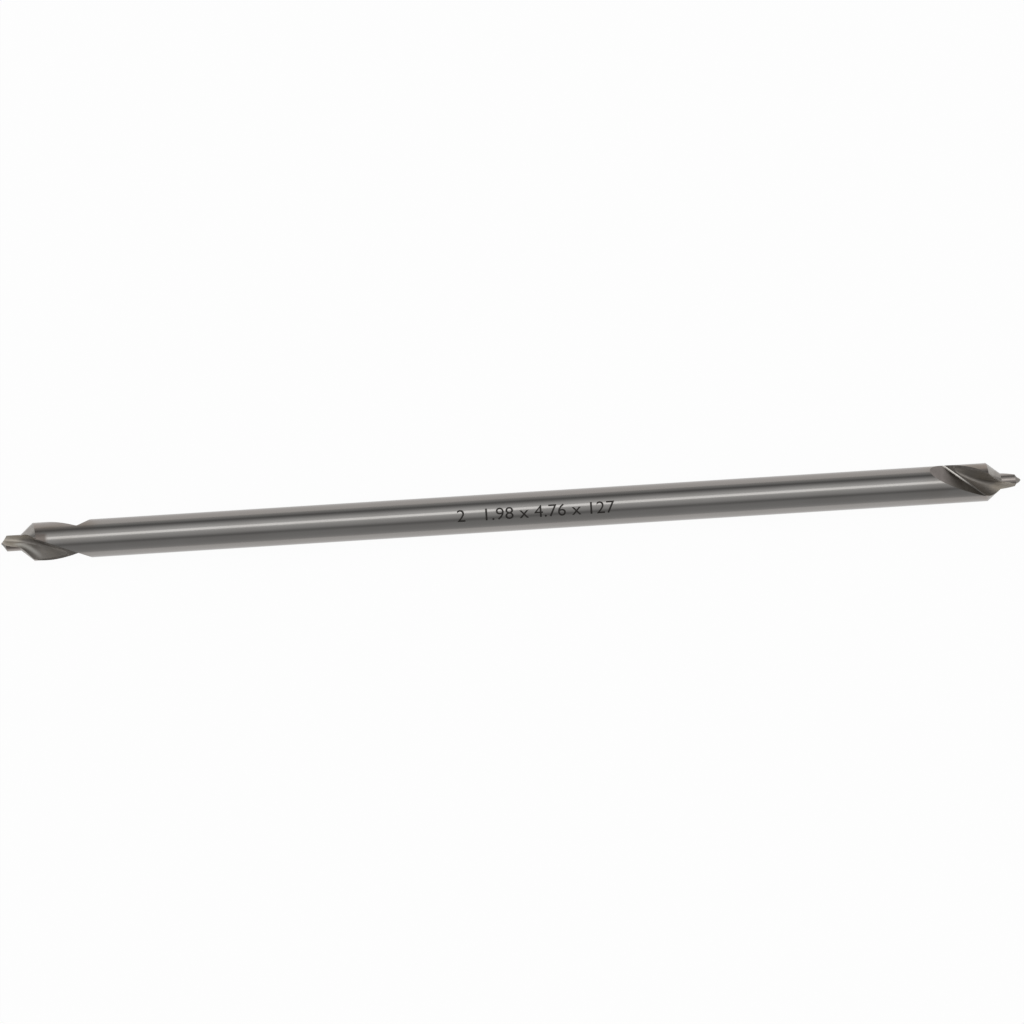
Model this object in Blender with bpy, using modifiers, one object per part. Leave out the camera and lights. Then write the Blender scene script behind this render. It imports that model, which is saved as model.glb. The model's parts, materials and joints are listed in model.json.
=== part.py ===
"""Extra-long double-ended centre drill, number 2 size, ground from one piece of high-speed steel.

The drill lies along X with the middle of its length at the origin. Each end carries a short
pilot drill, an 82 degree countersink and two right-hand helical flutes that run out on a ramp.
A flute is two cuts: the helical one, whose floor rises from the tip, and the straight run-out
that the grinding wheel leaves where it stops following the helix.
An end is modelled with its tip at +X and a lip along +Y, and then turned into its place.
A station is a distance from the tip, measured towards the shank.
"""
import math

import bmesh
import bpy
from mathutils import Matrix, Vector
from mathutils.geometry import intersect_plane_plane

# Lengths are in metres.
OVERALL_LENGTH = 0.127
SHANK_DIAMETER = 0.0047625
PILOT_DIAMETER = 0.001984
PILOT_LENGTH = 0.00237         # from the tip to the start of the countersink
WEB_THICKNESS = 0.00030        # metal left between the two flutes
FLUTE_UNDERCUT = 0.00049       # how far each flute reaches past the axis, at the tip
FLUTE_ROOT_RADIUS = 0.00045    # rounding between the rake wall and the heel wall
HEEL_WALL_RADIUS = 0.00186     # hollow of the heel wall
HEEL_WALL_HEIGHT = 0.00112     # height over the axis at which that hollow is deepest
FLUTE_FLOOR_RADIUS = 0.0195    # radius of the curve in which the flute's floor rises
FLUTE_LEAD = 0.0271            # advance of the right-hand helix in one turn
HELIX_LENGTH = 0.0081          # from the tip to where the wheel stops following the helix
FLUTE_LENGTH = 0.01124         # from the tip to where the flute leaves the shank's surface
RUN_OUT_LENGTH = 0.00595       # length of the ramp, from the axis out to the surface

# Angles are in degrees.
COUNTERSINK_ANGLE = 82.0
POINT_ANGLE = 118.0
CLEARANCE_ANGLE = 6.0          # fall of the point and the countersink behind their lips
RUN_OUT_FACING = 75.0          # turn of the ramp's face back from the lip at the tip
RUN_OUT_WALL_ANGLE = 24.7      # turn of the wall beside the ramp from the axis
RIGHT_END_CLOCKING = -65.5     # turn of the lips about the axis, for the end at +X
LEFT_END_CLOCKING = 75.0       # the same for the end at -X, before it is turned over

# Fineness of the faceted surfaces.
BLANK_SEGMENTS = 120
POINT_RINGS = 4
FLUTE_STEPS = 50
RAKE_STEPS = 6
ARC_STEP_ANGLE = 14.0          # in degrees, along the arcs of the flute's outline

FLUTES = 2
SHANK_RADIUS = SHANK_DIAMETER / 2
PILOT_RADIUS = PILOT_DIAMETER / 2
HALF_LENGTH = OVERALL_LENGTH / 2
HALF_WEB = WEB_THICKNESS / 2
POINT_LENGTH = PILOT_RADIUS / math.tan(math.radians(POINT_ANGLE / 2))
CONE_LENGTH = (SHANK_RADIUS - PILOT_RADIUS) / math.tan(math.radians(COUNTERSINK_ANGLE / 2))
CONE_END = PILOT_LENGTH + CONE_LENGTH
LAND_PITCH = math.tau / FLUTES
OVERRUN = SHANK_DIAMETER / 4   # how far the cutters reach past the blank's surface


def clear_scene():
    for old in list(bpy.data.objects):
        bpy.data.objects.remove(old, do_unlink=True)


def new_collection(name):
    collection = bpy.data.collections.new(name)
    bpy.context.scene.collection.children.link(collection)
    return collection


def ground_steel():
    material = bpy.data.materials.new("ground_steel")
    material.use_nodes = True
    shader = material.node_tree.nodes["Principled BSDF"]
    shader.inputs["Base Color"].default_value = (0.56, 0.55, 0.54, 1.0)
    shader.inputs["Metallic"].default_value = 1.0
    shader.inputs["Roughness"].default_value = 0.25
    return material


def end_frames():
    """The turn that takes each end from the pose it is modelled in to its place on the drill."""
    right = Matrix.Rotation(math.radians(RIGHT_END_CLOCKING), 4, "X")
    left = Matrix.Rotation(math.radians(LEFT_END_CLOCKING), 4, "X")
    turned_over = Matrix.Rotation(math.pi, 4, "Y")
    return {"right": right, "left": turned_over @ left}


def helix_turn(station):
    """Turn of the flutes at a station, from where they stand at the tip."""
    return -math.tau * station / FLUTE_LEAD


def turned_blank(collection):
    """The round blank, with a point, a pilot and a countersink at both ends."""
    rings = [ring / POINT_RINGS for ring in range(POINT_RINGS + 1)]
    outline = [(HALF_LENGTH - POINT_LENGTH * ring, PILOT_RADIUS * ring) for ring in rings]
    outline += [(HALF_LENGTH - PILOT_LENGTH, PILOT_RADIUS), (HALF_LENGTH - CONE_END, SHANK_RADIUS)]
    outline += [(-x, radius) for x, radius in reversed(outline)]
    mesh = bpy.data.meshes.new("outline")
    mesh.from_pydata([(x, radius, 0.0) for x, radius in outline],
                     [(i, i + 1) for i in range(len(outline) - 1)], [])
    blank = bpy.data.objects.new("centre_drill", mesh)
    collection.objects.link(blank)
    turning = blank.modifiers.new("turning", "SCREW")
    turning.axis = "X"
    turning.steps = BLANK_SEGMENTS
    turning.render_steps = BLANK_SEGMENTS
    turning.use_merge_vertices = True
    turning.merge_threshold = 1e-7
    return blank


def apply_modifiers(shape):
    graph = bpy.context.evaluated_depsgraph_get()
    solid = bpy.data.meshes.new_from_object(shape.evaluated_get(graph))
    shape.modifiers.clear()
    shape.data = solid


def back_off_cones(blank):
    """Let the point and the countersink fall back behind each lip, so that only the lips cut.

    A lip lies on the rake wall, half the web ahead of the axis, so near the axis it leads by a
    larger angle. The fall grows over most of the land and is made up again in the open flute.
    """
    slope = math.tan(math.radians(CLEARANCE_ANGLE))
    for frame in end_frames().values():
        to_modelling_pose = frame.inverted()
        for vertex in blank.data.vertices:
            place = to_modelling_pose @ vertex.co
            station = HALF_LENGTH - place.x
            radius = math.hypot(place.y, place.z)
            if radius == 0.0 or station > CONE_END + CONE_LENGTH:
                continue
            lead = math.asin(min(1.0, HALF_WEB / radius))
            behind = (helix_turn(station) + lead - math.atan2(place.z, place.y)) % LAND_PITCH
            place.x -= radius * slope * min(behind, 2 * (LAND_PITCH - behind))
            vertex.co = frame @ place


def arc(centre_y, centre_z, radius, start, end):
    """Points on an arc in the YZ plane, both ends included."""
    steps = math.ceil(abs(end - start) / math.radians(ARC_STEP_ANGLE))
    angles = [start + (end - start) * step / steps for step in range(steps + 1)]
    return [(centre_y + radius * math.cos(a), centre_z + radius * math.sin(a)) for a in angles]


def flute_section(rise):
    """The flute's outline across the axis, with its rake wall along +Y and its floor raised.

    A round root touches both the rake wall and the hollow wall of the heel behind it.
    """
    reach = SHANK_DIAMETER
    heel_y = HEEL_WALL_RADIUS - FLUTE_UNDERCUT + rise
    root_z = HALF_WEB + FLUTE_ROOT_RADIUS
    root_turn = math.asin((HEEL_WALL_HEIGHT - root_z) / (HEEL_WALL_RADIUS - FLUTE_ROOT_RADIUS))
    root_y = heel_y - (HEEL_WALL_RADIUS - FLUTE_ROOT_RADIUS) * math.cos(root_turn)
    root = arc(root_y, root_z, FLUTE_ROOT_RADIUS, math.pi * 1.5, math.pi + root_turn)
    heel = arc(heel_y, HEEL_WALL_HEIGHT, HEEL_WALL_RADIUS, math.pi + root_turn, math.pi / 2)
    rake = [(root_y + (reach - root_y) * step / RAKE_STEPS, HALF_WEB)
            for step in range(RAKE_STEPS, 0, -1)]
    return rake + root + heel[1:] + [(reach, reach)]


def helical_cutter(name, frame, collection):
    """The helical part of a flute, carried on a little so that it ends inside the run-out."""
    shape = bmesh.new()
    sweep = OVERRUN + HELIX_LENGTH + HALF_WEB
    loops = []
    for step in range(FLUTE_STEPS + 1):
        station = sweep * step / FLUTE_STEPS - OVERRUN
        rise = max(station, 0.0) ** 2 / (2 * FLUTE_FLOOR_RADIUS)
        turn = Matrix.Rotation(helix_turn(station), 3, "X")
        loops.append([shape.verts.new(turn @ Vector((HALF_LENGTH - station, y, z)))
                      for y, z in flute_section(rise)])
    for near, far in zip(loops, loops[1:]):
        for i in range(len(near)):
            shape.faces.new((near[i - 1], near[i], far[i], far[i - 1]))
    shape.faces.new(loops[0])
    shape.faces.new(loops[-1])
    bmesh.ops.recalc_face_normals(shape, faces=shape.faces)
    return as_cutter(name, shape, frame, collection)


def run_out_cutter(name, frame, collection):
    """The straight end of a flute: a block with the ramp below it and a flat wall beside it.

    The wall meets the helical rake wall at the station where the helix ends.
    """
    facing = Matrix.Rotation(math.radians(-RUN_OUT_FACING), 3, "X")
    ramp_point = facing @ Vector((HALF_LENGTH - FLUTE_LENGTH, SHANK_RADIUS, 0.0))
    ramp_normal = (facing @ Vector((SHANK_RADIUS, RUN_OUT_LENGTH, 0.0))).normalized()
    turn = Matrix.Rotation(helix_turn(HELIX_LENGTH), 3, "X")
    wall_point = turn @ Vector((HALF_LENGTH - HELIX_LENGTH, 0.0, HALF_WEB))
    wall_slope = math.tan(math.radians(RUN_OUT_WALL_ANGLE))
    wall_normal = (turn @ Vector((-wall_slope, 0.0, 1.0))).normalized()

    corner, along = intersect_plane_plane(ramp_point, ramp_normal, wall_point, wall_normal)
    corner += along * along.dot(ramp_point - corner)
    over_ramp = (wall_normal - ramp_normal * wall_normal.dot(ramp_normal)).normalized()
    up_wall = (ramp_normal - wall_normal * ramp_normal.dot(wall_normal)).normalized()
    reach = FLUTE_LENGTH * 3
    shape = bmesh.new()
    near, far = ([shape.verts.new(corner + (along * side + over_ramp * a + up_wall * b) * reach)
                  for a, b in ((0, 0), (1, 0), (1, 1), (0, 1))] for side in (-1, 1))
    for i in range(4):
        shape.faces.new((near[i - 1], near[i], far[i], far[i - 1]))
    shape.faces.new(near)
    shape.faces.new(far)
    bmesh.ops.recalc_face_normals(shape, faces=shape.faces)
    return as_cutter(name, shape, frame, collection)


def as_cutter(name, shape, frame, collection):
    mesh = bpy.data.meshes.new(name)
    shape.to_mesh(mesh)
    shape.free()
    cutter = bpy.data.objects.new(name, mesh)
    cutter.matrix_world = frame
    cutter.hide_render = True
    cutter.display_type = "WIRE"
    collection.objects.link(cutter)
    return cutter


def subtract(shape, cutters):
    """Take every cutter of a collection away from the shape, all in one operation."""
    cut = shape.modifiers.new("flutes", "BOOLEAN")
    cut.operation = "DIFFERENCE"
    cut.solver = "EXACT"
    cut.operand_type = "COLLECTION"
    cut.collection = cutters


def build():
    clear_scene()
    parts = new_collection("centre_drill")
    cutters = new_collection("cutters")

    drill = turned_blank(parts)
    apply_modifiers(drill)
    back_off_cones(drill)
    for side, frame in end_frames().items():
        for flute in range(FLUTES):
            turned = frame @ Matrix.Rotation(LAND_PITCH * flute, 4, "X")
            name = f"{side}_{flute + 1}"
            helical_cutter("helix_" + name, turned, cutters)
            run_out_cutter("run_out_" + name, turned, cutters)
    subtract(drill, cutters)
    apply_modifiers(drill)

    drill.data.materials.clear()
    drill.data.materials.append(ground_steel())
    drill.data.shade_smooth()
    drill.data.set_sharp_from_angle(angle=math.radians(25))


build()
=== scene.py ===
"""Looks of the double-ended centre drill: bright ground shank, heat-tinted flutes, etched size.

The drill lies along X on a pale floor and the camera looks straight down on it. The piece
centre_drill_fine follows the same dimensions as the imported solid, with finer facets, a rounded
corner at the foot of each run-out's wall, and the size etched on the shank.
"""

import json
import math

import bmesh
import bpy
from mathutils import Matrix, Vector
from mathutils.geometry import intersect_plane_plane

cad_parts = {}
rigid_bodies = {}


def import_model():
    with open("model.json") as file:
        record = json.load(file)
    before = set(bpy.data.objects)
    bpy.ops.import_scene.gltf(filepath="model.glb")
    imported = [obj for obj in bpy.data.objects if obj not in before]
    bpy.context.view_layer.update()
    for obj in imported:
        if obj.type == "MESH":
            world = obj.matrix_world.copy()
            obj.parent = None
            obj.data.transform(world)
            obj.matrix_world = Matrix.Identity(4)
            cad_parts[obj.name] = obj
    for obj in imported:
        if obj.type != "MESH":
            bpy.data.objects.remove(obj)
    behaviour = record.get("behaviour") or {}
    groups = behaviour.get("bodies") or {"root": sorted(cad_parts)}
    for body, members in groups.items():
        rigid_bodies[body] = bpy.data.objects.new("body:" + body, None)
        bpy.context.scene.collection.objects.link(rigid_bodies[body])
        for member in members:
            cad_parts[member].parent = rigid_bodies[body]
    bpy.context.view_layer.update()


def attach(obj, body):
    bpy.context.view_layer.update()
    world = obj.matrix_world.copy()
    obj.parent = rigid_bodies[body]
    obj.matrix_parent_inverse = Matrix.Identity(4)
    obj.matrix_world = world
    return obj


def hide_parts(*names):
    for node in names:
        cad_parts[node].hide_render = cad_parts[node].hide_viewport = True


# Lengths are in metres and angles in degrees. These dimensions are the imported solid's own.
OVERALL_LENGTH = 0.127
SHANK_DIAMETER = 0.0047625
PILOT_DIAMETER = 0.001984
PILOT_LENGTH = 0.00237
WEB_THICKNESS = 0.00030
FLUTE_UNDERCUT = 0.00049
FLUTE_ROOT_RADIUS = 0.00045
HEEL_WALL_RADIUS = 0.00186
HEEL_WALL_HEIGHT = 0.00112
FLUTE_FLOOR_RADIUS = 0.0195
FLUTE_LEAD = 0.0271
HELIX_LENGTH = 0.0081
FLUTE_LENGTH = 0.01124
RUN_OUT_LENGTH = 0.00595
COUNTERSINK_ANGLE = 82.0
POINT_ANGLE = 118.0
CLEARANCE_ANGLE = 6.0
RUN_OUT_FACING = 75.0
RUN_OUT_WALL_ANGLE = 24.7
RIGHT_END_CLOCKING = -65.5
LEFT_END_CLOCKING = 75.0
FLUTES = 2

SHANK_RADIUS = SHANK_DIAMETER / 2
PILOT_RADIUS = PILOT_DIAMETER / 2
HALF_LENGTH = OVERALL_LENGTH / 2
HALF_WEB = WEB_THICKNESS / 2
POINT_LENGTH = PILOT_RADIUS / math.tan(math.radians(POINT_ANGLE / 2))
CONE_LENGTH = (SHANK_RADIUS - PILOT_RADIUS) / math.tan(math.radians(COUNTERSINK_ANGLE / 2))
CONE_END = PILOT_LENGTH + CONE_LENGTH
LAND_PITCH = math.tau / FLUTES
OVERRUN = SHANK_DIAMETER / 4

# The rounded corner that the grinding wheel leaves between the run-out's ramp and its wall.
RUN_OUT_FILLET = 0.00020
FILLET_STEPS = 10

# Fineness of the visual mesh. Edges that turn by more than the sharp angle are shaded as edges.
BLANK_SEGMENTS = 360
POINT_RINGS = 8
FLUTE_STEPS = 180
RAKE_STEPS = 30
ARC_STEP_ANGLE = 5.0
SHARP_ANGLE = 8.0

# Faces of the turned blank near the tips belong to a cone or a point where their normals lean
# along the axis by more than this.
CONE_LEAN = 0.3
CONE_MARGIN = SHANK_RADIUS * 0.1

# The etched size on the shank. The cutter's letters start inside the shank and end above it.
MARK_TEXT = "2   1.98 x 4.76 x 127"
MARK_HEIGHT = 0.00150
MARK_LENGTH = 0.0196
MARK_CENTRE_X = 0.0031
MARK_CENTRE_Y = -0.00012
MARK_DEPTH = 0.000015
MARK_FONT_SIZE = MARK_HEIGHT * 1.4
MARK_CURVE_STEPS = 3
MARK_CUTTER_Z = SHANK_RADIUS * 1.4
MARK_CORE_LENGTH = MARK_LENGTH * 1.5
MERGE_DISTANCE = 1e-8

# Slots of the run-out cutter's faces.
RAMP_SLOT, WALL_SLOT, FILLET_SLOT = 0, 1, 2

# Most values of a noise texture lie in this range.
NOISE_SPREAD = (0.3, 0.7)

# Base colours of the shank, of the painted shade along its two sides and beside the left end's
# heel, and of its lands beside the flutes.
SHANK_COLOUR = (0.338, 0.328, 0.317, 1.0)
SHANK_TOP_PAINTED_SHADE_COLOUR = (0.302, 0.281, 0.267, 1.0)
SHANK_BOTTOM_PAINTED_SHADE_COLOUR = (0.318, 0.302, 0.290, 1.0)
STAIN_COLOUR = (0.28, 0.265, 0.25, 1.0)
SMEAR_COLOUR = (0.20, 0.155, 0.115, 1.0)
LAND_COLOUR = (0.32, 0.265, 0.235, 1.0)
LEFT_HAZE_PAINTED_SHADE_COLOUR = (0.17, 0.145, 0.13, 1.0)

# Base colours of the cones, the flutes, the run-outs and the etched size, with a painted highlight
# streak in the left flutes, painted shade on the ramps and a painted highlight on the right
# fillets.
CONE_COLOUR = (0.345, 0.328, 0.308, 1.0)
CONE_PATCH_COLOUR = (0.28, 0.26, 0.24, 1.0)
POINT_COLOUR = (0.18, 0.165, 0.15, 1.0)
FLUTE_COLOUR = (0.32, 0.30, 0.278, 1.0)
FLUTE_MARK_COLOUR = (0.25, 0.232, 0.213, 1.0)
STRAW_COLOUR = (0.42, 0.375, 0.315, 1.0)
PILOT_FLUTE_COLOUR = (0.56, 0.52, 0.46, 1.0)
STREAK_PAINTED_HIGHLIGHT_COLOUR = (0.88, 0.87, 0.83, 1.0)
RAMP_START_COLOUR = (0.21, 0.195, 0.175, 1.0)
RAMP_PAINTED_SHADE_COLOUR = (0.12, 0.109, 0.097, 1.0)
RAMP_END_COLOUR = (0.200, 0.178, 0.166, 1.0)
WALL_COLOUR = (0.20, 0.184, 0.168, 1.0)
WALL_MARK_COLOUR = (0.165, 0.151, 0.138, 1.0)
FILLET_COLOUR = (0.13, 0.12, 0.11, 1.0)
FILLET_PAINTED_HIGHLIGHT_COLOUR = (0.80, 0.77, 0.72, 1.0)
ETCHED_COLOUR = (0.03, 0.028, 0.026, 1.0)
ETCHED_GRAIN_COLOUR = (0.08, 0.074, 0.07, 1.0)

# Where the tints and the painted shade and highlights fade in, each from none to full. Those along
# the drill are distances from the nearer tip, those across it are heights in the picture.
LAND_STATIONS = (0.0056, 0.0040)
PILOT_STATIONS = (0.0030, 0.0022)
TOP_PAINTED_SHADE_HEIGHTS = (0.0014, 0.0018)
BOTTOM_PAINTED_SHADE_HEIGHTS = (-0.0014, -0.0018)
SMEAR_STATIONS = (0.0132, 0.0104)
SMEAR_HEIGHTS = (0.0009, 0.0019)
SMEAR_STRENGTHS = (0.15, 1.0)
POINT_STATIONS = (0.0009, 0.0006)
STRAW_STATIONS = (0.0062, 0.0018)
PILOT_FLUTE_STATIONS = (0.0030, 0.0018)
PILOT_FLUTE_STRENGTHS = (0.0, 0.75)
RAMP_PAINTED_SHADE_STATIONS = (0.0064, 0.0079)
RAMP_END_STATIONS = (0.0082, 0.0102)
RAMP_END_WAVER = 0.0006
FILLET_HIGHLIGHT_STATIONS = (0.0058, 0.0082)

# The dull, rougher haze beside the left end's heel, darkened there as painted shade where the
# highlight fades, by its position along the drill and its two edges.
LEFT_HAZE_AND_SHADE_ALONG = (0.0060 - HALF_LENGTH, 0.0054 - HALF_LENGTH)
LEFT_HAZE_AND_SHADE_UPPER_EDGE = (0.00115, 0.00075)
LEFT_HAZE_AND_SHADE_LOWER_EDGE = (-0.0009, -0.0004)

# A painted highlight streak on the left end's rake walls. The radius of its middle grows
# with the distance from the tip, in a straight part and a curved one.
STREAK_START = 0.00224
STREAK_START_RADIUS = 0.00035
STREAK_SLOPE = 0.31
STREAK_CURVATURE = 104.0
STREAK_REACH = 0.00062
STREAK_FADE_IN = (0.0012, 0.0022)
STREAK_FADE_OUT = (0.0054, 0.0030)
RAKE_WALL_COSINES = (0.1, 0.5)

# Fineness of the flutes' grinding marks, round the drill and outwards.
FLUTE_MARKS_ROUND = 60.0
FLUTE_MARKS_OUTWARD = 24000.0

# The floor shows white to the camera and in the steel, where it fades with the distance from
# the drill.
FLOOR_REACH = 30.0
FLOOR_COLOUR = (0.9, 0.9, 0.9, 1.0)
FLOOR_ROUGHNESS = 0.9
FLOOR_SPECULAR = 0.1
FLOOR_WHITE_SHARE = 0.965
FLOOR_FADE_DISTANCES = (0.004, 0.070)
FLOOR_FADE_STRENGTHS = (1.0, 0.72)

# Light of the surroundings round the drill's axis: the angle from straight up, towards the top
# of the picture, and the level there.
SURROUNDINGS = [
    (-180, 0.70), (-95, 0.70), (-86, 0.57), (-77, 0.46), (-70, 0.42), (-56, 0.385), (-43, 0.37),
    (-36, 0.31), (-30, 0.235), (-24, 0.30), (-18, 0.43), (-12, 0.54), (-6, 0.60), (0, 0.64),
    (6, 0.82), (12, 0.90), (28, 0.90), (36, 0.76), (43, 0.60), (49, 0.45), (56, 0.29),
    (62, 0.19), (66, 0.20), (71, 0.29), (77, 0.38), (85, 0.52), (90, 0.60), (180, 0.70)]

# The strip lamp along the drill, one metre from it.
STRIP_LENGTH = 1.8
STRIP_WIDTH = 0.24
STRIP_WATTS = 1.10
STRIP_TILT = 17.0

# The camera: the photograph's width in pixels, its scale, its tilt and its aim beside the centre.
PHOTO_WIDTH = 1024
PIXELS_PER_METRE = 8042.0
CAMERA_ROLL = 3.596
CAMERA_RIGHT_PIXELS = 1.16
CAMERA_DOWN_PIXELS = 0.07
CAMERA_DISTANCE = 1.5
CAMERA_NEAREST = 0.01
SENSOR_WIDTH = 36.0


def new_collection(name):
    collection = bpy.data.collections.new(name)
    bpy.context.scene.collection.children.link(collection)
    return collection


class Nodes:
    """Short way to build a node tree: each call adds a node and returns its first output."""

    def __init__(self, tree):
        self.tree = tree

    def add(self, kind, **settings):
        node = self.tree.nodes.new(kind)
        for key, value in settings.items():
            setattr(node, key, value)
        return node

    def feed(self, socket, value):
        if isinstance(value, bpy.types.NodeSocket):
            self.tree.links.new(value, socket)
        else:
            socket.default_value = value

    def math(self, operation, *values):
        node = self.add("ShaderNodeMath", operation=operation)
        for socket, value in zip(node.inputs, values):
            self.feed(socket, value)
        return node.outputs[0]

    def times(self, *values):
        """The product of two or more values."""
        first, *others = values
        return self.math("MULTIPLY", first, others[0] if len(others) == 1 else self.times(*others))

    def weighted(self, *terms):
        """The sum of two or more values, each times its own weight."""
        (value, weight), *others = terms
        product = self.math("MULTIPLY", value, weight)
        return self.math("ADD", product, self.weighted(*others)) if others else product

    def position(self):
        coordinates = self.add("ShaderNodeTexCoord").outputs["Object"]
        split = self.add("ShaderNodeSeparateXYZ")
        self.feed(split.inputs[0], coordinates)
        return split.outputs["X"], split.outputs["Y"], split.outputs["Z"]

    def combine(self, x, y, z):
        node = self.add("ShaderNodeCombineXYZ")
        for socket, value in zip(node.inputs, (x, y, z)):
            self.feed(socket, value)
        return node.outputs[0]

    def noise(self, place, detail, scale=1.0):
        node = self.add("ShaderNodeTexNoise")
        self.feed(node.inputs["Vector"], self.combine(*place))
        node.inputs["Scale"].default_value = scale
        node.inputs["Detail"].default_value = detail
        return node.outputs[0]

    def drawn_noise(self, place, along, across, detail):
        """Noise with one fineness along the drill's axis and another across it."""
        x, y, z = place
        return self.noise((self.math("MULTIPLY", x, along), self.math("MULTIPLY", y, across),
                           self.math("MULTIPLY", z, across)), detail)

    def range(self, value, between, levels=(0.0, 1.0), smooth=True):
        """The value's place between two others, as a level."""
        node = self.add("ShaderNodeMapRange",
                        interpolation_type="SMOOTHSTEP" if smooth else "LINEAR")
        self.feed(node.inputs["Value"], value)
        node.inputs["From Min"].default_value, node.inputs["From Max"].default_value = between
        node.inputs["To Min"].default_value, node.inputs["To Max"].default_value = levels
        return node.outputs[0]

    def tint(self, shade, colour, mask, strength=None):
        """The shade, mixed with the colour where the mask is, as far as its strength."""
        node = self.add("ShaderNodeMix", data_type="RGBA")
        self.feed(node.inputs["Factor"], mask if strength is None else self.times(mask, strength))
        self.feed(node.inputs["A"], shade)
        self.feed(node.inputs["B"], colour)
        return node.outputs["Result"]

    def bump(self, height, strength, distance):
        node = self.add("ShaderNodeBump")
        self.feed(node.inputs["Height"], height)
        node.inputs["Strength"].default_value = strength
        node.inputs["Distance"].default_value = distance
        return node.outputs[0]


class Metal:
    """A metal material, with its nodes and the place on the drill."""

    def __init__(self, name):
        self.material = bpy.data.materials.new(name)
        self.material.use_nodes = True
        self.shader = self.material.node_tree.nodes["Principled BSDF"]
        self.shader.inputs["Metallic"].default_value = 1.0
        self.nodes = Nodes(self.material.node_tree)
        self.place = self.nodes.position()

    def station(self):
        """Distance from the nearer tip, along the axis."""
        along = self.nodes.math("ABSOLUTE", self.place[0])
        return self.nodes.math("SUBTRACT", HALF_LENGTH, along)

    def finished(self, colour, roughness, normal=None):
        """The material, once its shader has these values."""
        self.nodes.feed(self.shader.inputs["Base Color"], colour)
        self.nodes.feed(self.shader.inputs["Roughness"], roughness)
        if normal is not None:
            self.nodes.feed(self.shader.inputs["Normal"], normal)
        return self.material


def shank_steel():
    """Centreless-ground steel: fine rings round the shank, a few drawn streaks, light stains, and
    painted shade along its sides and beside the left end's heel.
    """
    metal = Metal("ground_steel_shank")
    nodes, station = metal.nodes, metal.station()
    x, y, _ = metal.place
    rings = nodes.drawn_noise(metal.place, along=14000.0, across=120.0, detail=3.0)
    streaks = nodes.drawn_noise(metal.place, along=70.0, across=2600.0, detail=3.0)
    stains = nodes.drawn_noise(metal.place, along=160.0, across=420.0, detail=4.0)
    land = nodes.range(station, LAND_STATIONS)
    pilot = nodes.range(station, PILOT_STATIONS)
    smear = nodes.times(nodes.range(station, SMEAR_STATIONS), nodes.range(stains, (0.30, 0.60)),
                        nodes.range(y, SMEAR_HEIGHTS, SMEAR_STRENGTHS))
    left_haze_and_shade = nodes.times(nodes.range(x, LEFT_HAZE_AND_SHADE_ALONG), nodes.range(y, LEFT_HAZE_AND_SHADE_UPPER_EDGE),
                            nodes.range(y, LEFT_HAZE_AND_SHADE_LOWER_EDGE))
    # Painted shade: a darker, warmer colour along both sides of the shank as seen from above.
    shade = nodes.tint(SHANK_COLOUR, SHANK_TOP_PAINTED_SHADE_COLOUR, nodes.range(y, TOP_PAINTED_SHADE_HEIGHTS))
    shade = nodes.tint(shade, SHANK_BOTTOM_PAINTED_SHADE_COLOUR, nodes.range(y, BOTTOM_PAINTED_SHADE_HEIGHTS))
    shade = nodes.tint(shade, STAIN_COLOUR, nodes.range(stains, (0.35, 0.7), levels=(0.0, 0.25)))
    shade = nodes.tint(shade, SMEAR_COLOUR, smear, strength=0.55)
    shade = nodes.tint(shade, LAND_COLOUR, land, strength=0.4)
    # Painted shade beside the left end's heel, dimming the highlight there; the same haze also
    # makes it rougher.
    shade = nodes.tint(shade, LEFT_HAZE_PAINTED_SHADE_COLOUR, left_haze_and_shade, strength=0.85)
    rough = nodes.math("ADD", nodes.range(streaks, NOISE_SPREAD, levels=(0.10, 0.16)),
                       nodes.weighted((smear, 0.08), (pilot, 0.12), (left_haze_and_shade, 0.26)))
    relief = nodes.weighted((rings, 0.7), (streaks, 0.3))
    return metal.finished(shade, rough, nodes.bump(relief, strength=0.25, distance=2.0e-6))


def cone_steel():
    """The ground countersink and point: coarser rings than the shank, slightly matt."""
    metal = Metal("ground_steel_cone")
    nodes = metal.nodes
    rings = nodes.drawn_noise(metal.place, along=9000.0, across=300.0, detail=3.0)
    patches = nodes.noise(metal.place, scale=900.0, detail=3.0)
    shade = nodes.tint(CONE_COLOUR, CONE_PATCH_COLOUR, nodes.range(patches, (0.35, 0.7)))
    shade = nodes.tint(shade, POINT_COLOUR, nodes.range(metal.station(), POINT_STATIONS))
    rough = nodes.range(patches, NOISE_SPREAD, levels=(0.18, 0.32))
    return metal.finished(shade, rough, nodes.bump(rings, strength=0.35, distance=4.0e-6))


def painted_highlight_streak(metal, station, radius):
    """Where a highlight is painted on the left end's rake walls, further out with each step from
    the tip.
    """
    nodes = metal.nodes
    x, y, z = metal.place
    turn = nodes.math("ARCTAN2", nodes.math("MULTIPLY", z, -1.0), y)
    angle = nodes.math("ADD", turn, nodes.math("MULTIPLY", station, math.tau / FLUTE_LEAD))
    angle = nodes.math("SUBTRACT", angle, math.radians(LEFT_END_CLOCKING))
    on_wall = nodes.range(nodes.math("COSINE", nodes.math("MULTIPLY", angle, FLUTES)),
                          RAKE_WALL_COSINES)
    along = nodes.math("SUBTRACT", station, STREAK_START)
    growth = nodes.math("ADD", STREAK_SLOPE, nodes.math("MULTIPLY", along, STREAK_CURVATURE))
    middle = nodes.math("ADD", nodes.math("MULTIPLY", along, growth), STREAK_START_RADIUS)
    off = nodes.math("ABSOLUTE", nodes.math("SUBTRACT", radius, middle))
    band = nodes.range(off, (STREAK_REACH, 0.0))
    ends = nodes.times(nodes.range(station, STREAK_FADE_IN), nodes.range(station, STREAK_FADE_OUT))
    left = nodes.math("LESS_THAN", x, 0.0)
    return nodes.times(nodes.times(band, ends), nodes.times(on_wall, left))


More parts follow.
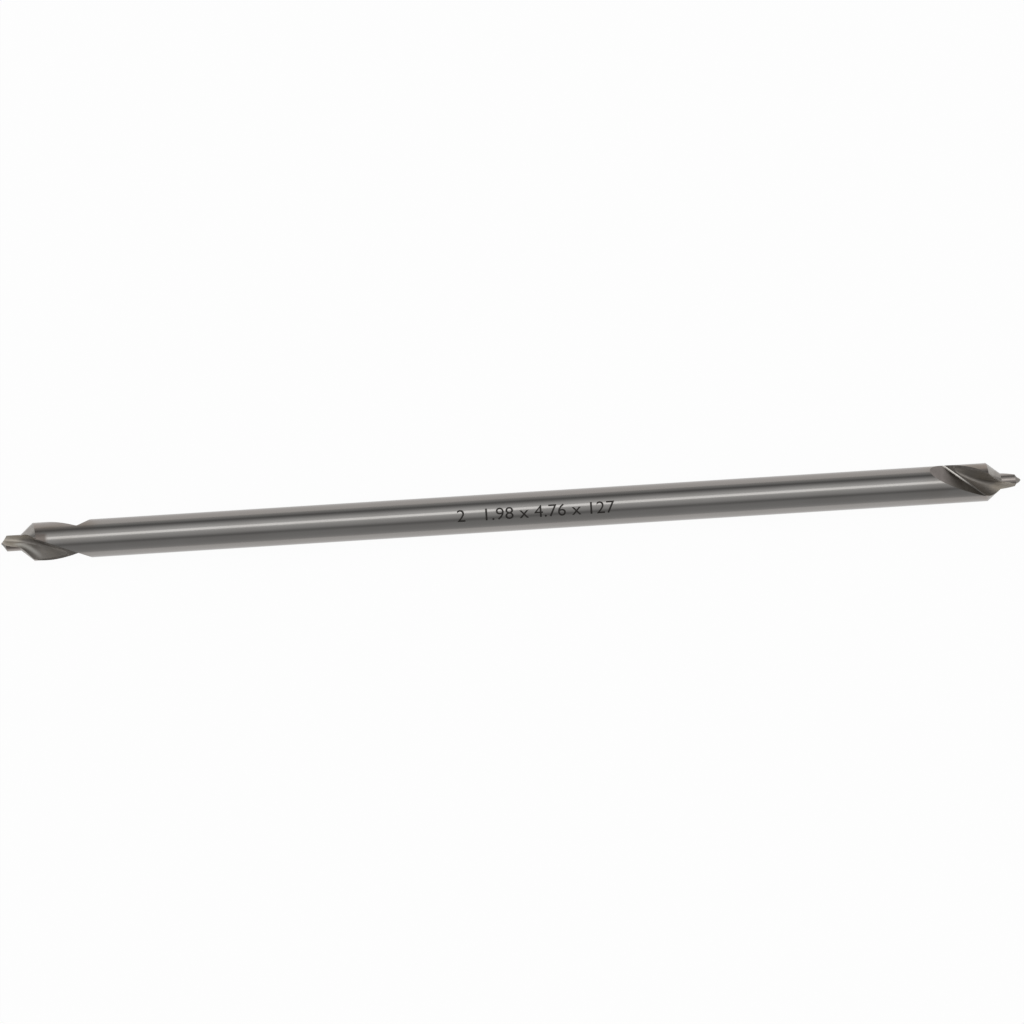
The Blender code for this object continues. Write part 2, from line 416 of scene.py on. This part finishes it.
def flute_steel():
    """Flutes ground from the solid: marks along the helix, dark with straw and brown tints, and a
    painted highlight streak on the left end's rake walls.
    """
    metal = Metal("ground_steel_flute")
    nodes, station = metal.nodes, metal.station()
    x, y, z = metal.place
    radius = nodes.math("SQRT", nodes.math("ADD", nodes.times(y, y), nodes.times(z, z)))
    unwound = nodes.math("ADD", nodes.math("ARCTAN2", z, y),
                         nodes.math("MULTIPLY", x, math.tau / FLUTE_LEAD))
    marks = nodes.noise((nodes.math("MULTIPLY", nodes.math("SINE", unwound), FLUTE_MARKS_ROUND),
                         nodes.math("MULTIPLY", nodes.math("COSINE", unwound), FLUTE_MARKS_ROUND),
                         nodes.math("MULTIPLY", radius, FLUTE_MARKS_OUTWARD)), detail=4.0)
    patches = nodes.drawn_noise(metal.place, along=260.0, across=520.0, detail=4.0)
    near_tip = nodes.range(station, STRAW_STATIONS)
    straw = nodes.times(nodes.range(patches, (0.40, 0.62)),
                        nodes.math("ADD", 0.25, nodes.math("MULTIPLY", near_tip, 0.65)))
    on_pilot = nodes.range(station, PILOT_FLUTE_STATIONS, PILOT_FLUTE_STRENGTHS)
    shade = nodes.tint(FLUTE_COLOUR, FLUTE_MARK_COLOUR, nodes.range(marks, (0.35, 0.65)))
    shade = nodes.tint(shade, STRAW_COLOUR, straw)
    shade = nodes.tint(shade, PILOT_FLUTE_COLOUR, on_pilot)
    # A painted highlight: a near-white streak on the left end's rake walls.
    shade = nodes.tint(shade, STREAK_PAINTED_HIGHLIGHT_COLOUR, painted_highlight_streak(metal, station, radius))
    rough = nodes.range(marks, NOISE_SPREAD, levels=(0.48, 0.60))
    return metal.finished(shade, rough, nodes.bump(marks, strength=0.5, distance=6.0e-6))


def ramp_steel():
    """The flat run-out with painted shade: lighter by the flute, darker further out, brownish out
    towards the shank.
    """
    metal = Metal("ground_steel_ramp")
    nodes, station = metal.nodes, metal.station()
    lines = nodes.drawn_noise(metal.place, along=1800.0, across=900.0, detail=4.0)
    wavering = nodes.math("ADD", station, nodes.math("MULTIPLY", lines, RAMP_END_WAVER))
    # Painted shade along the ramp: lighter by the flute, darker further out, lighter and brownish
    # towards the shank.
    shade = nodes.tint(RAMP_START_COLOUR, RAMP_PAINTED_SHADE_COLOUR, nodes.range(station, RAMP_PAINTED_SHADE_STATIONS))
    shade = nodes.tint(shade, RAMP_END_COLOUR, nodes.range(wavering, RAMP_END_STATIONS))
    rough = nodes.range(lines, NOISE_SPREAD, levels=(0.28, 0.42))
    return metal.finished(shade, rough, nodes.bump(lines, strength=0.3, distance=3.0e-6))


def wall_steel():
    """The wall beside the run-out, with fine lengthwise marks."""
    metal = Metal("ground_steel_wall")
    nodes = metal.nodes
    marks = nodes.drawn_noise(metal.place, along=500.0, across=5000.0, detail=3.0)
    shade = nodes.tint(WALL_COLOUR, WALL_MARK_COLOUR, nodes.range(marks, (0.35, 0.65)))
    rough = nodes.range(marks, NOISE_SPREAD, levels=(0.38, 0.50))
    return metal.finished(shade, rough, nodes.bump(marks, strength=0.3, distance=3.0e-6))


def fillet_steel():
    """The rounded corner at the foot of the wall: dull by the flute, with a painted highlight at
    the right end.
    """
    metal = Metal("ground_steel_fillet")
    nodes = metal.nodes
    grain = nodes.noise(metal.place, scale=4000.0, detail=3.0)
    bright = nodes.times(nodes.range(metal.station(), FILLET_HIGHLIGHT_STATIONS),
                         nodes.math("GREATER_THAN", metal.place[0], 0.0))
    # A painted highlight along the right end's fillets, out from the flute.
    shade = nodes.tint(FILLET_COLOUR, FILLET_PAINTED_HIGHLIGHT_COLOUR, bright)
    return metal.finished(shade, nodes.range(grain, NOISE_SPREAD, levels=(0.42, 0.55)))


def etched_steel():
    """The etched size: nearly black, with a fine grain."""
    metal = Metal("etched_steel")
    nodes = metal.nodes
    grain = nodes.noise(metal.place, scale=6000.0, detail=2.0)
    shade = nodes.tint(ETCHED_COLOUR, ETCHED_GRAIN_COLOUR, grain)
    return metal.finished(shade, nodes.range(grain, NOISE_SPREAD, levels=(0.45, 0.7)))


def end_frames():
    """The turn that takes each end from the pose it is modelled in to its place on the drill."""
    right = Matrix.Rotation(math.radians(RIGHT_END_CLOCKING), 4, "X")
    left = Matrix.Rotation(math.radians(LEFT_END_CLOCKING), 4, "X")
    turned_over = Matrix.Rotation(math.pi, 4, "Y")
    return {"right": right, "left": turned_over @ left}


def helix_turn(station):
    return -math.tau * station / FLUTE_LEAD


def turned_blank(collection):
    """The round blank, with a point, a pilot and a countersink at both ends."""
    rings = [ring / POINT_RINGS for ring in range(POINT_RINGS + 1)]
    outline = [(HALF_LENGTH - POINT_LENGTH * ring, PILOT_RADIUS * ring) for ring in rings]
    outline += [(HALF_LENGTH - PILOT_LENGTH, PILOT_RADIUS), (HALF_LENGTH - CONE_END, SHANK_RADIUS)]
    outline += [(-x, radius) for x, radius in reversed(outline)]
    mesh = bpy.data.meshes.new("outline")
    mesh.from_pydata([(x, radius, 0.0) for x, radius in outline],
                     [(i, i + 1) for i in range(len(outline) - 1)], [])
    blank = bpy.data.objects.new("centre_drill_fine", mesh)
    collection.objects.link(blank)
    turning = blank.modifiers.new("turning", "SCREW")
    turning.axis = "X"
    turning.steps = BLANK_SEGMENTS
    turning.render_steps = BLANK_SEGMENTS
    turning.use_merge_vertices = True
    turning.merge_threshold = 1e-7
    return blank


def apply_modifiers(shape):
    graph = bpy.context.evaluated_depsgraph_get()
    solid = bpy.data.meshes.new_from_object(shape.evaluated_get(graph))
    shape.modifiers.clear()
    shape.data = solid


def back_off_cones(blank):
    """Let the point and the countersink fall back behind each lip, so that only the lips cut.

    The surface falls back with the angle behind a lip, and climbs again twice as fast to the next.
    """
    slope = math.tan(math.radians(CLEARANCE_ANGLE))
    for frame in end_frames().values():
        to_modelling_pose = frame.inverted()
        for vertex in blank.data.vertices:
            place = to_modelling_pose @ vertex.co
            station = HALF_LENGTH - place.x
            radius = math.hypot(place.y, place.z)
            if radius == 0.0 or station > CONE_END + CONE_LENGTH:
                continue
            lead = math.asin(min(1.0, HALF_WEB / radius))
            behind = (helix_turn(station) + lead - math.atan2(place.z, place.y)) % LAND_PITCH
            place.x -= radius * slope * min(behind, 2 * (LAND_PITCH - behind))
            vertex.co = frame @ place


def arc(centre_y, centre_z, radius, start, end):
    steps = math.ceil(abs(end - start) / math.radians(ARC_STEP_ANGLE))
    angles = [start + (end - start) * step / steps for step in range(steps + 1)]
    return [(centre_y + radius * math.cos(a), centre_z + radius * math.sin(a)) for a in angles]


def flute_section(rise):
    """The flute's outline across the axis, with its rake wall along +Y and its floor raised."""
    reach = SHANK_DIAMETER
    heel_y = HEEL_WALL_RADIUS - FLUTE_UNDERCUT + rise
    root_z = HALF_WEB + FLUTE_ROOT_RADIUS
    root_turn = math.asin((HEEL_WALL_HEIGHT - root_z) / (HEEL_WALL_RADIUS - FLUTE_ROOT_RADIUS))
    root_y = heel_y - (HEEL_WALL_RADIUS - FLUTE_ROOT_RADIUS) * math.cos(root_turn)
    root = arc(root_y, root_z, FLUTE_ROOT_RADIUS, math.pi * 1.5, math.pi + root_turn)
    heel = arc(heel_y, HEEL_WALL_HEIGHT, HEEL_WALL_RADIUS, math.pi + root_turn, math.pi / 2)
    rake = [(root_y + (reach - root_y) * step / RAKE_STEPS, HALF_WEB)
            for step in range(RAKE_STEPS, 0, -1)]
    return rake + root + heel[1:] + [(reach, reach)]


def as_cutter(name, shape, frame, collection, *materials):
    """Make the shape an object that cuts, with a slot for each of its materials."""
    mesh = bpy.data.meshes.new(name)
    shape.to_mesh(mesh)
    shape.free()
    for material in materials:
        mesh.materials.append(material)
    cutter = bpy.data.objects.new(name, mesh)
    cutter.matrix_world = frame
    collection.objects.link(cutter)
    return cutter


def helical_cutter(name, frame, collection, material):
    """The helical part of a flute, carried on a little so that it ends inside the run-out."""
    shape = bmesh.new()
    sweep = OVERRUN + HELIX_LENGTH + HALF_WEB
    loops = []
    for step in range(FLUTE_STEPS + 1):
        station = sweep * step / FLUTE_STEPS - OVERRUN
        rise = max(station, 0.0) ** 2 / (2 * FLUTE_FLOOR_RADIUS)
        turn = Matrix.Rotation(helix_turn(station), 3, "X")
        loops.append([shape.verts.new(turn @ Vector((HALF_LENGTH - station, y, z)))
                      for y, z in flute_section(rise)])
    for near, far in zip(loops, loops[1:]):
        for i in range(len(near)):
            shape.faces.new((near[i - 1], near[i], far[i], far[i - 1]))
    shape.faces.new(loops[0])
    shape.faces.new(loops[-1])
    bmesh.ops.recalc_face_normals(shape, faces=shape.faces)
    as_cutter(name, shape, frame, collection, material)


def run_out_cutter(name, frame, collection, ramp, wall, fillet):
    """The straight end of a flute: a block with the ramp below it and a flat wall beside it.

    A rounded corner joins the two. The block's other sides lie outside the drill.
    """
    facing = Matrix.Rotation(math.radians(-RUN_OUT_FACING), 3, "X")
    ramp_point = facing @ Vector((HALF_LENGTH - FLUTE_LENGTH, SHANK_RADIUS, 0.0))
    ramp_normal = (facing @ Vector((SHANK_RADIUS, RUN_OUT_LENGTH, 0.0))).normalized()
    turn = Matrix.Rotation(helix_turn(HELIX_LENGTH), 3, "X")
    wall_point = turn @ Vector((HALF_LENGTH - HELIX_LENGTH, 0.0, HALF_WEB))
    wall_slope = math.tan(math.radians(RUN_OUT_WALL_ANGLE))
    wall_normal = (turn @ Vector((-wall_slope, 0.0, 1.0))).normalized()

    corner, along = intersect_plane_plane(ramp_point, ramp_normal, wall_point, wall_normal)
    corner += along * along.dot(ramp_point - corner)
    over_ramp = (wall_normal - ramp_normal * wall_normal.dot(ramp_normal)).normalized()
    up_wall = (ramp_normal - wall_normal * ramp_normal.dot(wall_normal)).normalized()
    reach = FLUTE_LENGTH * 3
    opening = ramp_normal.angle(wall_normal)
    inset = RUN_OUT_FILLET * math.tan(opening / 2)
    centre = over_ramp * inset + ramp_normal * RUN_OUT_FILLET
    outline = []
    for step in range(FILLET_STEPS + 1):
        swing = opening * step / FILLET_STEPS
        towards = ((ramp_normal * math.sin(opening - swing) + wall_normal * math.sin(swing))
                   / math.sin(opening))
        outline.append(centre - towards * RUN_OUT_FILLET)
    outline += [up_wall * reach, (over_ramp + up_wall) * reach, over_ramp * reach]
    shape = bmesh.new()
    near, far = ([shape.verts.new(corner + along * side * reach + point) for point in outline]
                 for side in (-1, 1))
    for i in range(len(outline)):
        side = shape.faces.new((near[i - 1], near[i], far[i], far[i - 1]))
        side.material_index = WALL_SLOT if i > FILLET_STEPS else FILLET_SLOT if i else RAMP_SLOT
    shape.faces.new(near)
    shape.faces.new(far)
    bmesh.ops.recalc_face_normals(shape, faces=shape.faces)
    as_cutter(name, shape, frame, collection, ramp, wall, fillet)


def subtract(shape, cutters):
    """Take a collection of cutters away; each leaves its own material on the cut surface."""
    cut = shape.modifiers.new("cut", "BOOLEAN")
    cut.operation = "DIFFERENCE"
    cut.solver = "EXACT"
    cut.material_mode = "TRANSFER"
    cut.operand_type = "COLLECTION"
    cut.collection = cutters
    apply_modifiers(shape)
    for cutter in list(cutters.objects):
        bpy.data.objects.remove(cutter, do_unlink=True)
    bpy.data.collections.remove(cutters)


def mark_cutter(collection, material):
    """The etched size: its characters cut to an even depth, following the round shank."""
    text = bpy.data.curves.new("mark_text", "FONT")
    text.body = MARK_TEXT
    text.align_x = "CENTER"
    text.size = MARK_FONT_SIZE
    text.resolution_u = MARK_CURVE_STEPS
    text.extrude = SHANK_RADIUS
    holder = bpy.data.objects.new("mark_text", text)
    collection.objects.link(holder)
    bpy.context.view_layer.update()
    graph = bpy.context.evaluated_depsgraph_get()
    mesh = bpy.data.meshes.new_from_object(holder.evaluated_get(graph))
    bpy.data.objects.remove(holder)
    xs = [v.co.x for v in mesh.vertices]
    ys = [v.co.y for v in mesh.vertices]
    stretch = Matrix.Diagonal((MARK_LENGTH / (max(xs) - min(xs)),
                               MARK_HEIGHT / (max(ys) - min(ys)), 1.0, 1.0))
    centre = Vector(((max(xs) + min(xs)) / 2, (max(ys) + min(ys)) / 2, 0.0))
    place = Matrix.Translation((MARK_CENTRE_X, MARK_CENTRE_Y, MARK_CUTTER_Z))
    mesh.transform(place @ stretch @ Matrix.Translation(-centre))
    letters = bmesh.new()
    letters.from_mesh(mesh)
    bmesh.ops.remove_doubles(letters, verts=letters.verts, dist=MERGE_DISTANCE)
    bmesh.ops.recalc_face_normals(letters, faces=letters.faces)
    mark = as_cutter("mark", letters, Matrix.Identity(4), collection, material)

    core = bmesh.new()
    along_shank = Matrix.Translation((MARK_CENTRE_X, 0, 0)) @ Matrix.Rotation(math.pi / 2, 4, "Y")
    bmesh.ops.create_cone(core, cap_ends=True, segments=BLANK_SEGMENTS,
                          radius1=SHANK_RADIUS - MARK_DEPTH, radius2=SHANK_RADIUS - MARK_DEPTH,
                          depth=MARK_CORE_LENGTH, matrix=along_shank)
    cores = new_collection("mark_core")
    as_cutter("mark_core", core, Matrix.Identity(4), cores, material)
    subtract(mark, cores)


def finish_cones(mesh, shank, cone):
    """Give the blank's leaning faces near the tips the cones' finish instead of the shank's."""
    slots = [material.name for material in mesh.materials]
    mesh.materials.append(cone)
    shank_slot, cone_slot = slots.index(shank.name), len(slots)
    for face in mesh.polygons:
        near_tip = HALF_LENGTH - abs(face.center.x) < CONE_END + CONE_MARGIN
        if face.material_index == shank_slot and near_tip and abs(face.normal.x) > CONE_LEAN:
            face.material_index = cone_slot


def fine_drill():
    """The drill: a turned blank, backed off at its cones, with its flutes and its size cut."""
    pieces, cutters = new_collection("drill"), new_collection("cutters")
    shank, flute_finish, cone, etched = shank_steel(), flute_steel(), cone_steel(), etched_steel()
    ramp, wall, fillet = ramp_steel(), wall_steel(), fillet_steel()
    drill = turned_blank(pieces)
    apply_modifiers(drill)
    back_off_cones(drill)
    drill.data.materials.clear()
    drill.data.materials.append(shank)
    for side, frame in end_frames().items():
        for flute in range(FLUTES):
            turned = frame @ Matrix.Rotation(LAND_PITCH * flute, 4, "X")
            name = f"{side}_{flute + 1}"
            helical_cutter("helix_" + name, turned, cutters, flute_finish)
            run_out_cutter("run_out_" + name, turned, cutters, ramp, wall, fillet)
    subtract(drill, cutters)
    marks = new_collection("marks")
    mark_cutter(marks, etched)
    subtract(drill, marks)
    finish_cones(drill.data, shank, cone)
    drill.data.shade_smooth()
    drill.data.set_sharp_from_angle(angle=math.radians(SHARP_ANGLE))
    return drill


def stage():
    """A pale floor under the drill. It shows white and keeps part of the drill's soft shadow."""
    mesh = bpy.data.meshes.new("floor")
    corners = [(-1, -1), (1, -1), (1, 1), (-1, 1)]
    mesh.from_pydata([(x * FLOOR_REACH, y * FLOOR_REACH, -SHANK_RADIUS) for x, y in corners], [],
                     [(0, 1, 2, 3)])
    floor = bpy.data.objects.new("floor", mesh)
    bpy.context.scene.collection.objects.link(floor)
    material = bpy.data.materials.new("floor")
    material.use_nodes = True
    nodes = Nodes(material.node_tree)
    shader = material.node_tree.nodes["Principled BSDF"]
    shader.inputs["Base Color"].default_value = FLOOR_COLOUR
    shader.inputs["Roughness"].default_value = FLOOR_ROUGHNESS
    shader.inputs["Specular IOR Level"].default_value = FLOOR_SPECULAR
    white = nodes.add("ShaderNodeEmission")
    white.inputs["Strength"].default_value = 1.0
    path = nodes.add("ShaderNodeLightPath")
    _, y, _ = nodes.position()
    fade = nodes.range(nodes.math("ABSOLUTE", y), FLOOR_FADE_DISTANCES, FLOOR_FADE_STRENGTHS,
                       smooth=False)
    glossy = nodes.times(path.outputs["Is Glossy Ray"], fade)
    seen = nodes.math("MAXIMUM", path.outputs["Is Camera Ray"],
                      nodes.math("MAXIMUM", glossy, path.outputs["Is Transmission Ray"]))
    blend = nodes.add("ShaderNodeMixShader")
    nodes.feed(blend.inputs[0], nodes.times(seen, FLOOR_WHITE_SHARE))
    nodes.feed(blend.inputs[1], shader.outputs[0])
    nodes.feed(blend.inputs[2], white.outputs[0])
    output = material.node_tree.nodes["Material Output"]
    nodes.feed(output.inputs["Surface"], blend.outputs[0])
    mesh.materials.append(material)


def grey(level):
    return level, level, level, 1.0


def studio():
    """Soft surroundings in long bands beside the drill, as panels in a light tent give."""
    world = bpy.data.worlds.new("studio")
    bpy.context.scene.world = world
    world.use_nodes = True
    nodes = Nodes(world.node_tree)
    background = world.node_tree.nodes["Background"]
    split = nodes.add("ShaderNodeSeparateXYZ")
    nodes.feed(split.inputs[0], nodes.add("ShaderNodeTexCoord").outputs["Generated"])
    angle = nodes.math("ARCTAN2", split.outputs["Y"], split.outputs["Z"])
    ramp = nodes.add("ShaderNodeValToRGB")
    nodes.feed(ramp.inputs[0], nodes.range(angle, (-math.pi, math.pi), smooth=False))
    stops = ramp.color_ramp.elements
    stops[0].position, stops[0].color = 0.0, grey(SURROUNDINGS[0][1])
    stops[1].position, stops[1].color = 1.0, grey(SURROUNDINGS[-1][1])
    for degrees, level in SURROUNDINGS[1:-1]:
        stops.new((degrees + 180) / 360).color = grey(level)
    nodes.feed(background.inputs["Color"], ramp.outputs[0])

    strip = bpy.data.lights.new("strip", "AREA")
    strip.shape = "RECTANGLE"
    strip.size, strip.size_y = STRIP_LENGTH, STRIP_WIDTH
    strip.energy = STRIP_WATTS
    lamp = bpy.data.objects.new("strip", strip)
    tilt = math.radians(STRIP_TILT)
    lamp.location = (0.0, math.sin(tilt), math.cos(tilt))
    lamp.rotation_euler = (-tilt, 0.0, 0.0)
    bpy.context.scene.collection.objects.link(lamp)


def photograph_camera():
    """Straight down on the drill through a long lens, with the photograph's slight tilt."""
    roll = math.radians(CAMERA_ROLL)
    right = Vector((math.cos(-roll), math.sin(-roll), 0.0))
    up = Vector((-math.sin(-roll), math.cos(-roll), 0.0))
    aim = (right * CAMERA_RIGHT_PIXELS / PIXELS_PER_METRE
           - up * CAMERA_DOWN_PIXELS / PIXELS_PER_METRE)
    lens = bpy.data.cameras.new("photograph")
    lens.sensor_width = SENSOR_WIDTH
    lens.lens = SENSOR_WIDTH * CAMERA_DISTANCE / (PHOTO_WIDTH / PIXELS_PER_METRE)
    lens.clip_start = CAMERA_NEAREST
    camera = bpy.data.objects.new("photograph", lens)
    camera.location = (aim.x, aim.y, CAMERA_DISTANCE)
    camera.rotation_euler = (0.0, 0.0, -roll)
    bpy.context.scene.collection.objects.link(camera)
    bpy.context.scene.camera = camera


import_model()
bpy.context.scene.view_settings.view_transform = "Standard"
photograph_camera()
studio()
stage()
drill = fine_drill()
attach(drill, "root")
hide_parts("centre_drill")
